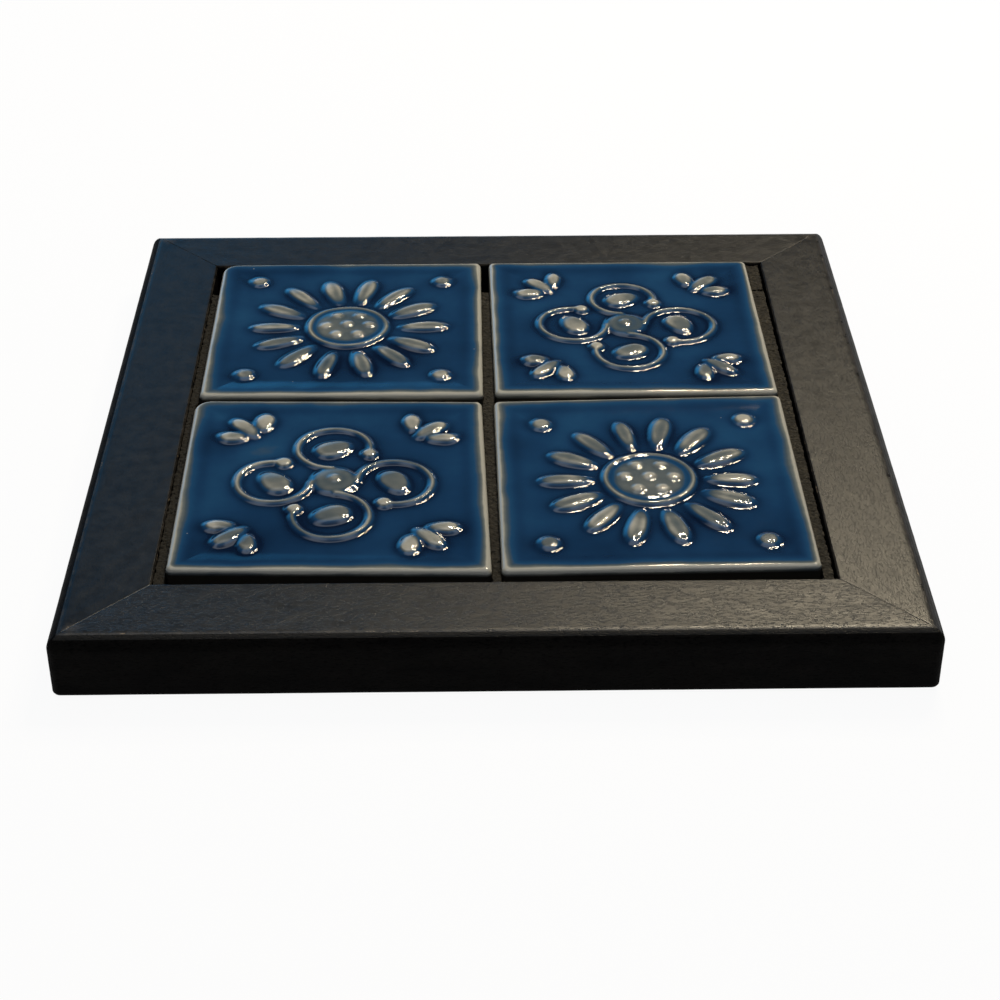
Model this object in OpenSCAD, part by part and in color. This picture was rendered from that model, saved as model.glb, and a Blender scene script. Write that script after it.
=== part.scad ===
// Square table trivet: four relief-glazed tiles set two by two in a mitred black wooden frame.
// Millimetres. +Z is up and -Y is the front. The origin is the centre of the plan, at the level
// that the felt pads stand on.

/* [Frame] */
// Width of a rail's face, from the opening to the outside
rail_w = 25.5; // [22:0.5:40]
// Thickness of the rail stock
rail_t = 19; // [18:0.5:25]
// Radius worked along the top outer edge of the rails
rail_round = 4.3; // [1:0.1:6]
// Radius of the eased bottom outer edge
rail_ease = 1.2; // [0.4:0.1:2]
// Radius of the eased upright corners of the frame
corner_ease = 2.5; // [1:0.1:5]
// Radius of the softened top edge at the opening
opening_ease = 0.6; // [0.2:0.1:1.5]
// Width of the rabbet cut for the base panel
rabbet_w = 8; // [6:0.5:10]

/* [Tiles] */
// Width of a tile, left to right
tile_w = 90; // [80:1:110]
// Depth of a tile, front to back
tile_d = 90; // [80:1:110]
// Thickness of a tile, from its back to the crest of its rim
tile_t = 11; // [9:0.5:12]
// How far the rims of the tiles stand above the frame
tile_proud = 1.3; // [0:0.1:3]
// Rounding of a tile's top edges
tile_edge_r = 1.8; // [0.8:0.1:2.1]
// Plan radius of a tile's corners
tile_corner_r = 2.6; // [2.3:0.1:4]
// Plan radius of the blunt back left corner that two of the tiles have
tile_blunt_r = 5.5; // [3:0.5:8]
// Bevel round the back of a tile
tile_bevel = 0.6; // [0.2:0.1:1]
// Most that a corner of these hand-cut tiles strays from its nominal square
tile_drift = 2.5; // [0:0.1:3.5]
// Width of the flat crest of the rim
rim_w = 0.9; // [0.5:0.1:2]
// Width of the slope from the rim down to the field
slope_w = 4.6; // [3:0.1:6]
// Depth of the field below the crest of the rim
field_sink = 1.3; // [0.6:0.1:1.8]

/* [Joints between the tiles] */
// Gap between the left rail and the tiles
gap_left = 2.1; // [1.5:0.1:5]
// Gap between the two columns of tiles
gap_middle = 2.6; // [1.5:0.1:5]
// Gap between the tiles and the right rail
gap_right = 4.3; // [3:0.1:6]
// Gap between the back rail and the tiles
gap_back = 0.9; // [0.8:0.1:4]
// Gap between the two rows of tiles
gap_rows = 3.2; // [2.8:0.1:5]
// Gap between the tiles and the front rail
gap_front = 4.9; // [3.5:0.1:6]

/* [Packing strips] */
// How far the three long strips stop short of the back rail
strip_stop = 19; // [5:0.5:60]
// Play between a strip and the pieces beside it
strip_play = 0.15; // [0.05:0.05:0.4]
// Open crack between the right strips and the right rail
strip_crack = 0.9; // [0.3:0.1:1.5]
// How far the strips lie below the top of the frame
strip_drop = 0.9; // [0:0.1:4]

/* [Relief] */
// Height of the petals and buds above the field
petal_h = 1.8; // [0.8:0.1:2.4]
// Height of the domed heart of the daisy
heart_h = 1.7; // [0.8:0.1:2.4]
// Width of a raised line where it meets the field
line_w = 2.3; // [1.4:0.1:3]
// Height of a raised line
line_h = 1.3; // [0.8:0.1:1.8]
// Number of petals round the daisy
petal_count = 14; // [8:1:16]

/* [Base] */
// Thickness of the plywood base panel
panel_t = 6; // [4:0.5:6.5]
// Clearance between the base panel and the rabbet
panel_play = 0.3; // [0.1:0.1:1]
// Thickness of the adhesive beds
bed_t = 1.6; // [1:0.1:2.5]
// Thickness of the adhesive film between the ridges of a bed
bed_film_t = 0.5; // [0.2:0.1:0.8]
// How far an adhesive bed stops short of the edge of its tile
bed_margin = 4; // [2:0.5:10]
// Width of a combed ridge of adhesive
ridge_w = 4; // [2:0.5:6]
// Distance from one combed ridge to the next
ridge_pitch = 8; // [7:0.5:12]

/* [Fixings] */
// Number of panel pins along each rail
pins_per_rail = 3; // [2:1:5]
// Diameter of a panel pin's shank
pin_d = 1.4; // [1:0.1:2]
// Length of a panel pin below its head
pin_len = 14; // [10:1:15]
// Diameter of a panel pin's head
pin_head_d = 3; // [2.2:0.1:4]
// Thickness of a panel pin's head
pin_head_t = 0.5; // [0.3:0.1:0.6]
// Height of a mitre nail
nail_h = 10; // [7:1:12]
// Length of each leg of a mitre nail
nail_leg = 4.6; // [3:0.1:5.5]
// Thickness of the steel strip that a mitre nail is folded from
nail_t = 0.6; // [0.4:0.1:0.8]
// Distance along the mitre from the outer corner to the first mitre nail
nail_first = 8; // [6:0.5:9]
// Distance along the mitre from one mitre nail to the next
nail_pitch = 8; // [7:0.5:9]

/* [Felt pads] */
// Diameter of a felt pad
pad_d = 11; // [8:0.5:14]
// Thickness of a felt pad
pad_t = 1.2; // [0.8:0.1:3]
// Softened edge of a felt pad
pad_ease = 0.3; // [0.1:0.1:0.4]

/* [Hidden] */
$fn = 48;

// Overrun of every cut past the face that it opens
over = tile_t / 10;

// Plan of the opening and of the frame
opening_w = gap_left + tile_w + gap_middle + tile_w + gap_right;
opening_d = gap_front + tile_d + gap_rows + tile_d + gap_back;
frame_w = opening_w + 2 * rail_w;
frame_d = opening_d + 2 * rail_w;

// Levels, from the table up
frame_z = pad_t;
frame_top = frame_z + rail_t;
tile_z = frame_top + tile_proud - tile_t;
bed_z = tile_z - bed_t;
panel_z = bed_z - panel_t;
field_z = tile_t - field_sink;

// Nominal corner of each tile nearest the front left, in the order front left, front right,
// back left, back right
tile_left_x = gap_left - opening_w / 2;
tile_right_x = tile_left_x + tile_w + gap_middle;
tile_front_y = gap_front - opening_d / 2;
tile_back_y = tile_front_y + tile_d + gap_rows;
FRONT_LEFT = 0;
FRONT_RIGHT = 1;
BACK_LEFT = 2;
BACK_RIGHT = 3;
tile_origins = [
  [tile_left_x, tile_front_y], [tile_right_x, tile_front_y],
  [tile_left_x, tile_back_y], [tile_right_x, tile_back_y]
];

// How far each corner of each tile lies inside its nominal square, as shares of tile_drift.
// A share below zero lies outside. A tile's corners go round from its front left, and each pair
// is [inwards in x, inwards in y].
drift_shares = [
  [[0.4, 0], [-0.6, -0.8], [0.3, 0], [0, -0.7]],
  [[0.6, -0.8], [-0.2, -0.2], [0, -1], [0.1, 0]],
  [[0.3, 0.4], [0.1, 0.1], [0.2, -0.2], [0.1, -0.1]],
  [[0.3, 0.4], [0.1, 0.3], [0.4, -0.2], [-0.2, -0.2]]
];

// Plan radii of each tile's corners, in the same order
corner_radii = [
  [tile_corner_r, tile_corner_r, tile_corner_r, tile_blunt_r],
  [tile_corner_r, tile_corner_r, tile_corner_r, tile_corner_r],
  [tile_corner_r, tile_corner_r, tile_corner_r, tile_blunt_r],
  [tile_corner_r, tile_corner_r, tile_corner_r, tile_corner_r]
];

// Relief layout, as shares of half the width of a tile's field
field_inset = tile_edge_r + rim_w + slope_w;
field_half = min(tile_w, tile_d) / 2 - field_inset;
relief_root = field_sink / 2;
heart_r_share = 0.34;
petal_start_share = 0.42;
petal_len_share = 0.47;
petal_w_share = 0.17;
petal_swell_share = 0.6;
seed_ring_share = 0.19;
seed_w_share = 0.1;
corner_bead_share = 0.17;
scroll_centre_share = 0.47;
scroll_r_share = 0.29;
scroll_turn = 285;
scroll_start = 180 - scroll_turn;
scroll_bead_share = 0.12;
bud_len_share = 0.34;
bud_w_share = 0.24;
bud_turn = 115;
hub_w_share = 0.38;
fan_len_share = 0.36;
fan_side_len_share = 0.27;
fan_w_share = 0.16;
fan_turn = 48;
fan_root_share = 0.62;
seed_count = 6;

// Steps in curved outlines
round_steps = 8;
ease_steps = 4;
corner_steps = 5;
petal_steps = 4;

// Points along an arc about c, from angle a0 to a1
function arc(c, r, a0, a1, steps) =
  [for (i = [0:steps]) let (a = a0 + (a1 - a0) * i / steps) c + r * [cos(a), sin(a)]];

// Radius of the circle whose arc has this chord and this rise
function cap_radius(chord, rise) = (chord * chord / 4 + rise * rise) / (2 * rise);

function unit(v) = v / norm(v);

// A four-sided outline moved inwards by inset, with each corner rounded
function rounded_quad(quad, inset, radii) =
  [for (i = [0:3]) let (
      back = unit(quad[(i + 3) % 4] - quad[i]),
      ahead = unit(quad[(i + 1) % 4] - quad[i]),
      spread = (back + ahead) / abs(cross(back, ahead)),
      centre = quad[i] + spread * (inset + radii[i]),
      start = atan2(back[0], -back[1]),
      turn = acos(-back * ahead))
    each arc(centre, radii[i], start, start + turn, corner_steps)];

// An outline lifted to height z
function lifted(outline, z) = [for (p = outline) [p[0], p[1], z]];

// The actual corners of a tile in its own plan, whose nominal square starts at the origin
function tile_quad(which) = let (d = drift_shares[which] * tile_drift) [
  [d[0][0], d[0][1]], [tile_w - d[1][0], d[1][1]],
  [tile_w - d[2][0], tile_d - d[2][1]], [d[3][0], tile_d - d[3][1]]
];

// Closed skin through a stack of outlines that have the same number of points
module loft(rings) {
  n = len(rings[0]);
  last = len(rings) - 1;
  polyhedron(
    points = [for (ring = rings) each ring],
    faces = concat(
      [[for (i = [0:n - 1]) i]],
      [for (k = [0:last - 1], i = [0:n - 1])
        [k * n + i, (k + 1) * n + i, (k + 1) * n + (i + 1) % n, k * n + (i + 1) % n]],
      [[for (i = [0:n - 1]) last * n + n - 1 - i]]
    )
  );
}

// Frame

// Section of a rail: its outer face stands on y = 0 and the section runs inwards along +y
module rail_section() {
  rabbet_top = bed_z - frame_z;
  polygon(concat(
    arc([rail_ease, rail_ease], rail_ease, 270, 180, ease_steps),
    arc([rail_round, rail_t - rail_round], rail_round, 180, 90, round_steps),
    arc([rail_w - opening_ease, rail_t - opening_ease], opening_ease, 90, 0, ease_steps),
    [[rail_w, rabbet_top], [rail_w - rabbet_w, rabbet_top], [rail_w - rabbet_w, 0]]
  ));
}

// Plan of a front rail with 45 degree mitres, for a frame side of this length and a frame
// that reaches depth / 2 from the middle
module mitred_plan(side, depth) {
  outer_x = side / 2;
  outer_y = -depth / 2;
  ease_x = outer_x - corner_ease;
  ease_y = outer_y + corner_ease;
  polygon(concat(
    [[rail_w - outer_x, outer_y + rail_w]],
    arc([-ease_x, ease_y], corner_ease, 225, 270, ease_steps),
    arc([ease_x, ease_y], corner_ease, 270, 315, ease_steps),
    [[outer_x - rail_w, outer_y + rail_w]]
  ));
}

// A rail at the front, centred on x = 0, with its nail slots and pin holes
module rail(side, depth) {
  difference() {
    intersection() {
      translate([-side / 2, -depth / 2, frame_z])
        rotate([90, 0, 90]) linear_extrude(side) rail_section();
      translate([0, 0, frame_z - over])
        linear_extrude(rail_t + 2 * over) mitred_plan(side, depth);
    }
    for (end = [-1, 1])
      translate([end * side / 2, -depth / 2, 0])
        rotate([0, 0, end < 0 ? 45 : 135]) mitre_nails();
    rail_pins(side, depth);
  }
}

module front_rail() { color("#1b1c1f") rail(frame_w, frame_d); }
module back_rail() { color("#1b1c1f") rotate([0, 0, 180]) rail(frame_w, frame_d); }
module left_rail() { color("#1b1c1f") rotate([0, 0, 270]) rail(frame_d, frame_w); }
module right_rail() { color("#1b1c1f") rotate([0, 0, 90]) rail(frame_d, frame_w); }

// Tiles

// Body of a tile: sides, rounded top edge, crest of the rim and slope down to the field
module tile_body(which) {
  quad = tile_quad(which);
  radii = corner_radii[which];
  crest_in = tile_edge_r + rim_w;
  crest_radii = [for (r = radii) r - tile_edge_r];
  sides = [
    lifted(rounded_quad(quad, tile_bevel, radii), 0),
    lifted(rounded_quad(quad, 0, radii), tile_bevel)
  ];
  edge = [for (i = [0:ease_steps]) let (
      a = 90 * i / ease_steps,
      inset = tile_edge_r * (1 - cos(a)))
    lifted(rounded_quad(quad, inset, [for (r = radii) r - inset]),
      tile_t - tile_edge_r * (1 - sin(a)))];
  slope = [for (i = [0:ease_steps]) let (share = i / ease_steps)
    lifted(
      rounded_quad(quad, crest_in + slope_w * share,
        [for (r = crest_radii) r + slope_w * share]),
      tile_t - field_sink * (1 - cos(180 * share)) / 2)];
  loft(concat(sides, edge, slope));
}

// Keeps relief from its roots just inside the body upwards
module above_field() {
  intersection() {
    union() children();
    translate([-tile_w / 2, -tile_d / 2, -relief_root])
      cube([tile_w, tile_d, relief_root + 2 * petal_h]);
  }
}

// Half of a petal's spun profile, from its widest place to its tip, as pairs of radius and
// distance. The bow meets the field at reach, and runs on below it to half of the radius there.
function petal_profile(reach, belly, rise) = let (
    bow = cap_radius(2 * reach, rise),
    tip = bow - (belly + rise) / 2,
    end = sqrt(bow * bow - tip * tip))
  [for (i = [0:petal_steps]) let (run = end * i / petal_steps)
    [belly - bow + sqrt(bow * bow - run * run), run]];

// A petal or bud from the origin along +X: a spun body that shows only above the field.
// It is widest at the swell's share of its length.
module petal(length, width, rise) {
  belly = cap_radius(width, rise);
  inner = length * petal_swell_share;
  near = petal_profile(inner, belly, rise);
  far = petal_profile(length - inner, belly, rise);
  translate([inner, 0, rise - belly]) rotate([0, 90, 0]) rotate_extrude()
    polygon(concat(
      [[0, far[petal_steps][1]], [0, -near[petal_steps][1]]],
      [for (i = [petal_steps:-1:1]) [near[i][0], -near[i][1]]],
      far));
}

// A round bead or dome on the field
module bead(width, rise) {
  r = cap_radius(width, rise);
  translate([0, 0, rise - r]) sphere(r);
}

// A raised line along an arc about the origin, from angle 0
module line_arc(r, sweep) {
  tube = cap_radius(line_w, line_h);
  translate([0, 0, line_h - tube]) rotate_extrude(angle = sweep) translate([r, 0]) circle(tube);
}

// Daisy: a domed heart in a raised ring, a circle of petals, seeds on the heart, and a bead
// in each corner of the field
module daisy_relief() {
  heart_r = field_half * heart_r_share;
  dome_r = cap_radius(2 * heart_r, heart_h);
  seed_r = field_half * seed_ring_share;
  seed_z = heart_h - dome_r + sqrt(dome_r * dome_r - seed_r * seed_r);
  seed_w = field_half * seed_w_share;
  seed_h = seed_w / 4;
  bead_w = field_half * corner_bead_share;
  above_field() {
    bead(2 * heart_r, heart_h);
    line_arc(heart_r, 360);
    translate([0, 0, heart_h]) bead(seed_w, seed_h);
    for (i = [0:seed_count - 1])
      rotate([0, 0, 360 * i / seed_count]) translate([seed_r, 0, seed_z]) bead(seed_w, seed_h);
    for (i = [0:petal_count - 1])
      rotate([0, 0, 360 * i / petal_count])
        translate([field_half * petal_start_share, 0, 0])
          petal(field_half * petal_len_share, field_half * petal_w_share, petal_h);
    for (sx = [-1, 1], sy = [-1, 1])
      translate([sx * (tile_w / 2 - field_inset - bead_w), sy * (tile_d / 2 - field_inset - bead_w), 0])
        bead(bead_w, line_h);
  }
}

// Scrolls: four hooked lines that spring from a hub, each round a bud, and a fan of three
// petals in each corner of the field
module scroll_relief() {
  scroll_r = field_half * scroll_r_share;
  scroll_x = field_half * scroll_centre_share;
  bead_w = field_half * scroll_bead_share;
  root = field_half * fan_root_share;
  above_field() {
    bead(field_half * hub_w_share, petal_h);
    for (a = [0, 90, 180, 270])
      rotate([0, 0, a]) translate([scroll_x, 0, 0]) {
        rotate([0, 0, scroll_start]) {
          line_arc(scroll_r, scroll_turn);
          for (end = [0, scroll_turn])
            rotate([0, 0, end]) translate([scroll_r, 0, 0]) bead(bead_w, petal_h);
        }
        rotate([0, 0, bud_turn]) translate([-field_half * bud_len_share / 2, 0, 0])
          petal(field_half * bud_len_share, field_half * bud_w_share, petal_h);
      }
    for (sx = [-1, 1], sy = [-1, 1])
      translate([sx * (tile_w / 2 - field_inset - field_half + root),
          sy * (tile_d / 2 - field_inset - field_half + root), 0])
        rotate([0, 0, atan2(sy, sx)]) {
          petal(field_half * fan_len_share, field_half * fan_w_share, petal_h);
          for (side = [-1, 1])
            rotate([0, 0, side * fan_turn]) translate([field_half * fan_w_share / 2, 0, 0])
              petal(field_half * fan_side_len_share, field_half * fan_w_share, petal_h);
        }
  }
}

// A tile in its place, with its relief centred on its field
module tile(which) {
  translate([tile_origins[which][0], tile_origins[which][1], tile_z]) {
    tile_body(which);
    translate([tile_w / 2, tile_d / 2, field_z]) children();
  }
}

module front_left_tile() { color("#1d3d5c") tile(FRONT_LEFT) scroll_relief(); }
module front_right_tile() { color("#1d3d5c") tile(FRONT_RIGHT) daisy_relief(); }
module back_left_tile() { color("#1d3d5c") tile(BACK_LEFT) daisy_relief(); }
module back_right_tile() { color("#1d3d5c") tile(BACK_RIGHT) scroll_relief(); }

// Packing strips, set on edge on the base panel and pressed to the run of the tiles' sides

// Where the strips start at the front rail, and where the long ones end
strip_front = strip_play - opening_d / 2;
strip_back = opening_d / 2 - strip_stop;

// The left and right walls of the opening, from front to back
left_wall = [[-opening_w / 2, -opening_d / 2], [-opening_w / 2, opening_d / 2]];
right_wall = [for (p = left_wall) [-p[0], p[1]]];

// One side of a lane, from front to back: the left sides (side -1) or right sides (side 1) of a
// column's two tiles, run on to the front and back walls of the opening
function column_side(front, back, side) = let (
    corners = side < 0 ? [0, 3] : [1, 2],
    line = [for (which = [front, back], k = corners) tile_origins[which] + tile_quad(which)[k]])
  concat([[line[0][0], -opening_d / 2]], line, [[line[3][0], opening_d / 2]]);

// The lane between two sides, less the play on its left and on its right, from front to back
module strip(left, right, left_play, right_play, front, back) {
  lane = concat(
    [for (p = left) p + [left_play, 0]],
    [for (i = [len(right) - 1:-1:0]) right[i] - [right_play, 0]]);
  translate([0, 0, bed_z]) linear_extrude(frame_top - strip_drop - bed_z) intersection() {
    polygon(lane);
    translate([-opening_w / 2, front]) square([opening_w, back - front]);
  }
}

module left_strip() {
  color("#3a382f")
    strip(left_wall, column_side(FRONT_LEFT, BACK_LEFT, -1), strip_play, strip_play,
      strip_front, strip_back);
}
module middle_strip() {
  color("#3a382f")
    strip(column_side(FRONT_LEFT, BACK_LEFT, 1), column_side(FRONT_RIGHT, BACK_RIGHT, -1),
      strip_play, strip_play, strip_front, strip_back);
}
module right_strip() {
  color("#3a382f")
    strip(column_side(FRONT_RIGHT, BACK_RIGHT, 1), right_wall, strip_play, strip_crack,
      strip_front, strip_back);
}
module right_short_strip() {
  color("#4a453b")
    strip(column_side(FRONT_RIGHT, BACK_RIGHT, 1), right_wall, strip_play, strip_crack,
      strip_back + strip_crack, opening_d / 2 - strip_play);
}

// Base

// The panel fits the rabbet and lies against its shoulder
module base_panel() {
  w = opening_w + 2 * (rabbet_w - panel_play);
  d = opening_d + 2 * (rabbet_w - panel_play);
  color("#8a6a45") difference() {
    translate([-w / 2, -d / 2, panel_z]) cube([w, d, panel_t]);
    panel_pins();
  }
}

// A combed bed of adhesive: a thin film with ridges that reach the back of the tile
module bed(which) {
  outline = rounded_quad(tile_quad(which), bed_margin, corner_radii[which]);
  ridges = floor((tile_w - ridge_w) / ridge_pitch);
  start = (tile_w - ridges * ridge_pitch) / 2;
  translate([tile_origins[which][0], tile_origins[which][1], bed_z]) intersection() {
    linear_extrude(bed_t) polygon(outline);
    union() {
      cube([tile_w, tile_d, bed_film_t]);
      for (i = [0:ridges])
        translate([start + i * ridge_pitch - ridge_w / 2, 0, 0]) cube([ridge_w, tile_d, bed_t]);
    }
  }
}

module front_left_bed() { color("#b8b2a4") bed(FRONT_LEFT); }
module front_right_bed() { color("#b8b2a4") bed(FRONT_RIGHT); }
module back_left_bed() { color("#b8b2a4") bed(BACK_LEFT); }
module back_right_bed() { color("#b8b2a4") bed(BACK_RIGHT); }

// Fixings

// A panel pin driven upwards: its head lies under z = 0 and its shank runs up to a point
module pin() {
  point = pin_d;
  rotate_extrude() polygon([
    [0, -pin_head_t], [pin_head_d / 2, -pin_head_t], [pin_head_d / 2, 0],
    [pin_d / 2, 0], [pin_d / 2, pin_len - point], [0, pin_len]
  ]);
}

// The pins along a front rail, in the middle of its rabbet
module rail_pins(side, depth) {
  run = side - 2 * rail_w;
  y = rail_w - rabbet_w / 2 - depth / 2;
  for (i = [0:pins_per_rail - 1])
    translate([run * ((i + 0.5) / pins_per_rail - 0.5), y, panel_z]) pin();
}

module panel_pins() {
  color("#9a9a98") for (a = [0, 180]) {
    rotate([0, 0, a]) rail_pins(frame_w, frame_d);
    rotate([0, 0, a + 90]) rail_pins(frame_d, frame_w);
  }
}

// Two folded steel nails along a mitre. The outer corner of the frame is at the origin and the
// mitre runs along +X. Each nail points at the corner with a leg in each rail.
module mitre_nails() {
  d = nail_leg * cos(45);
  t = nail_t * cos(45);
  for (i = [0, 1])
    translate([nail_first + i * nail_pitch, 0, frame_z]) linear_extrude(nail_h)
      polygon([[0, 0], [d, -d], [d + t, t - d], [2 * t, 0], [d + t, d - t], [d, d]]);
}

// The nails of one corner, sx and sy telling which
module corner_nails(sx, sy) {
  color("#9a9a98") translate([sx * frame_w / 2, sy * frame_d / 2, 0])
    rotate([0, 0, atan2(-sy, -sx)]) mitre_nails();
}

module front_left_nails() { corner_nails(-1, -1); }
module front_right_nails() { corner_nails(1, -1); }
module back_left_nails() { corner_nails(-1, 1); }
module back_right_nails() { corner_nails(1, 1); }

// Felt pads, each on the flat of the rails over a mitre
module pad(sx, sy) {
  inset = (rail_w - rabbet_w + rail_ease) / 2;
  r = pad_d / 2;
  color("#4b4236") translate([sx * (frame_w / 2 - inset), sy * (frame_d / 2 - inset), 0])
    rotate_extrude() polygon([
      [0, 0], [r - pad_ease, 0], [r, pad_ease], [r, pad_t], [0, pad_t]
    ]);
}

module front_left_pad() { pad(-1, -1); }
module front_right_pad() { pad(1, -1); }
module back_left_pad() { pad(-1, 1); }
module back_right_pad() { pad(1, 1); }

front_rail();
back_rail();
left_rail();
right_rail();
front_left_tile();
front_right_tile();
back_left_tile();
back_right_tile();
left_strip();
middle_strip();
right_strip();
right_short_strip();
base_panel();
panel_pins();
front_left_bed();
front_right_bed();
back_left_bed();
back_right_bed();
front_left_nails();
front_right_nails();
back_left_nails();
back_right_nails();
front_left_pad();
front_right_pad();
back_left_pad();
back_right_pad();
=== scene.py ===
"""Tile trivet: four relief-glazed tiles set two by two in a mitred black wooden frame."""

import math

import bmesh
import bpy
import numpy as np
from mathutils import Matrix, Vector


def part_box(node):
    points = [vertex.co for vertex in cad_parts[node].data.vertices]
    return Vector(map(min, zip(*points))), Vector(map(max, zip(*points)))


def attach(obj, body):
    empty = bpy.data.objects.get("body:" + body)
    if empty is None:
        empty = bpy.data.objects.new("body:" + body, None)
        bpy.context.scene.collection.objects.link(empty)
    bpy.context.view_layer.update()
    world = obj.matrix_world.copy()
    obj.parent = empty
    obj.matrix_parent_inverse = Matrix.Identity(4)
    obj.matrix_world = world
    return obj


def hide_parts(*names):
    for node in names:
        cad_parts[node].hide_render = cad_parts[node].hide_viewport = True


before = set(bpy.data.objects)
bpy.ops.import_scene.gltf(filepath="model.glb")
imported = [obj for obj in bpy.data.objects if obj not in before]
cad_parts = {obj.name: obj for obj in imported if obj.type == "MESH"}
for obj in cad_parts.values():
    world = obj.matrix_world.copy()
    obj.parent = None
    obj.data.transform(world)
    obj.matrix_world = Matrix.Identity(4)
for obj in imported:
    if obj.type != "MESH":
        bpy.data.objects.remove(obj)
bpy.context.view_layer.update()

# Frame rails
# Four lengths of open-grained hardwood, stained black, mitred and nailed at the corners. The top
# outer edge is worked round, and a rabbet on the underside takes the base panel. The top is waxed
# and rubbed by use, and down the round the wax gives out to dull sides.

frame_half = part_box("right_rail")[1].x
rail_low, rail_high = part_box("front_rail")
rail_w = rail_high.y - rail_low.y
rail_bottom = rail_low.z
rail_top = rail_high.z
rabbet_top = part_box("base_panel")[1].z
rabbet_w = 0.0080
top_round = 0.0043
bottom_ease = 0.0012
opening_ease = 0.0006
corner_ease = 0.0025
mitre_gap = 0.00003
mitre_arris = 0.00030
arris_drop = 0.00006
joint_reach = 0.0300
mitre_stations = np.array([0.0, 0.06, 0.15, 0.30, 0.6, 1.0, 1.5, 2.0, 2.6, 3.2]) / 1000
long_stations = 120
ease_steps = 6
side_steps = 10
round_steps = 18
top_steps = 34
wall_steps = 8
rabbet_steps = 4
rail_wave = 0.00005
rail_wave_size = 0.011
noise_lattice = 97

# Bands on the top's edges that are worn and polished. The shoulder band and the corner patch also
# carry a painted highlight.
shoulder_in = 0.0032
shoulder_w = 0.0007
lip_w = 0.0006
corner_wear_glint_in = 0.0055
corner_wear_glint_w = 0.0030
corner_wear_glint_run = 0.0060
corner_wear_glint_most = 1.05
worn_drop = 0.14

wood_black = (0.0026, 0.0025, 0.0026)
wood_brown = (0.0066, 0.0061, 0.0057)
wood_pore = (0.0012, 0.0012, 0.0012)
bare_wood_and_glint = (0.2200, 0.1750, 0.1250)
rubbed_brown_and_glint = (0.0400, 0.0350, 0.0300)
wood_lint = (0.1100, 0.1060, 0.1000)


def straight(start, end, count):
    """Points from start up to, and without, end, in equal steps."""
    share = np.arange(count)[:, None] / count
    return np.array(start) * (1 - share) + np.array(end) * share


def bend(centre, radius, start, end, count):
    """Points on an arc about centre, from the start angle up to, and without, the end angle."""
    angle = np.radians(start + (end - start) * np.arange(count) / count)
    return np.array(centre) + radius * np.stack([np.cos(angle), np.sin(angle)], axis=1)


def soft_noise(x, y, size, seed):
    """Smooth noise from -1 to 1: random heights on a square lattice of this size, blended across
    each square by 3t^2 - 2t^3 in both directions."""
    count = noise_lattice
    table = np.random.default_rng(seed).uniform(-1, 1, (count, count))
    i, j = np.floor(x / size).astype(int), np.floor(y / size).astype(int)
    s, t = x / size - i, y / size - j
    s, t = s * s * (3 - 2 * s), t * t * (3 - 2 * t)
    i, j, i_next, j_next = i % count, j % count, (i + 1) % count, (j + 1) % count
    near = table[i, j] * (1 - s) + table[i_next, j] * s
    far = table[i, j_next] * (1 - s) + table[i_next, j_next] * s
    return near * (1 - t) + far * t


def rail_section():
    """Closed section of a rail as rows of (distance in from the outer face, height): bottom
    edge, outer face, round, top, opening edge and wall, shoulder and wall of the rabbet, and
    underside."""
    inner = rail_w - opening_ease
    rabbet = rail_w - rabbet_w
    return np.concatenate([
        bend((bottom_ease, rail_bottom + bottom_ease), bottom_ease, 270, 180, ease_steps),
        straight((0, rail_bottom + bottom_ease), (0, rail_top - top_round), side_steps),
        bend((top_round, rail_top - top_round), top_round, 180, 90, round_steps),
        straight((top_round, rail_top), (inner, rail_top), top_steps),
        bend((inner, rail_top - opening_ease), opening_ease, 90, 0, ease_steps),
        straight((rail_w, rail_top - opening_ease), (rail_w, rabbet_top), wall_steps),
        straight((rail_w, rabbet_top), (rabbet, rabbet_top), rabbet_steps),
        straight((rabbet, rabbet_top), (rabbet, rail_bottom), rabbet_steps),
        straight((rabbet, rail_bottom), (bottom_ease, rail_bottom), wall_steps),
    ])


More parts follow.
